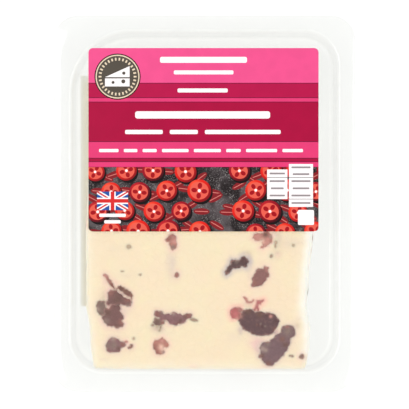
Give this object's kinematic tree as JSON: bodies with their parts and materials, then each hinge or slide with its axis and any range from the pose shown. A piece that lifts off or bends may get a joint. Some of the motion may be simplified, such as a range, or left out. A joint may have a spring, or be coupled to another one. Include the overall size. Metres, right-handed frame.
{
  "type": "packed slab of white cheese with cranberries",
  "caption": "Sealed shallow clear tray with a wide flange, clear lid film and printed label, holding a slab of crumbly white cheese with dried cranberry pieces in its cut faces.",
  "frame": {"origin": "under the middle of the pack, on the surface that its back lies on", "axes": "+Y towards the pack's top edge, +Z out of its printed face, +X to the right of someone reading it"},
  "size_m": [0.12, 0.15, 0.0201],
  "materials": {
    "clear_tray": "clear thermoformed plastic",
    "clear_film": "clear gloss film",
    "front_label": "gloss printed",
    "back_label": "satin printed",
    "cheese": "moist crumbly curd",
    "cranberry_dark": "moist dried fruit",
    "cranberry_red": "moist dried fruit"
  },
  "bodies": {
    "root": {"tray": "clear_tray", "lid_film": "clear_film", "front_label": "front_label", "back_label": "back_label", "cheese": "cheese", "cranberry_sliver": "cranberry_dark", "cranberry_strip": "cranberry_dark", "cranberry_shoulder": "cranberry_dark", "cranberry_lump": "cranberry_dark", "cranberry_wing": "cranberry_dark", "cranberry_button": "cranberry_dark", "cranberry_long": "cranberry_dark", "cranberry_pip": "cranberry_dark", "cranberry_crescent": "cranberry_red", "cranberry_cluster": "cranberry_red", "cranberry_hook": "cranberry_dark", "cranberry_bean": "cranberry_dark", "cranberry_whole": "cranberry_dark", "cranberry_nub": "cranberry_red", "cranberry_club": "cranberry_dark", "cranberry_drop": "cranberry_red", "cranberry_left_1": "cranberry_dark", "cranberry_left_2": "cranberry_dark", "cranberry_left_3": "cranberry_dark", "cranberry_left_4": "cranberry_dark", "cranberry_right_1": "cranberry_dark", "cranberry_right_2": "cranberry_dark", "cranberry_right_3": "cranberry_dark", "cranberry_right_4": "cranberry_dark", "cranberry_high_1": "cranberry_dark", "cranberry_high_2": "cranberry_dark", "cranberry_high_3": "cranberry_dark", "cranberry_low_1": "cranberry_dark", "cranberry_low_2": "cranberry_dark", "cranberry_low_3": "cranberry_dark", "cranberry_under_1": "cranberry_dark", "cranberry_under_2": "cranberry_dark", "cranberry_under_3": "cranberry_dark", "cranberry_under_4": "cranberry_dark"}
  },
  "joints": []
}
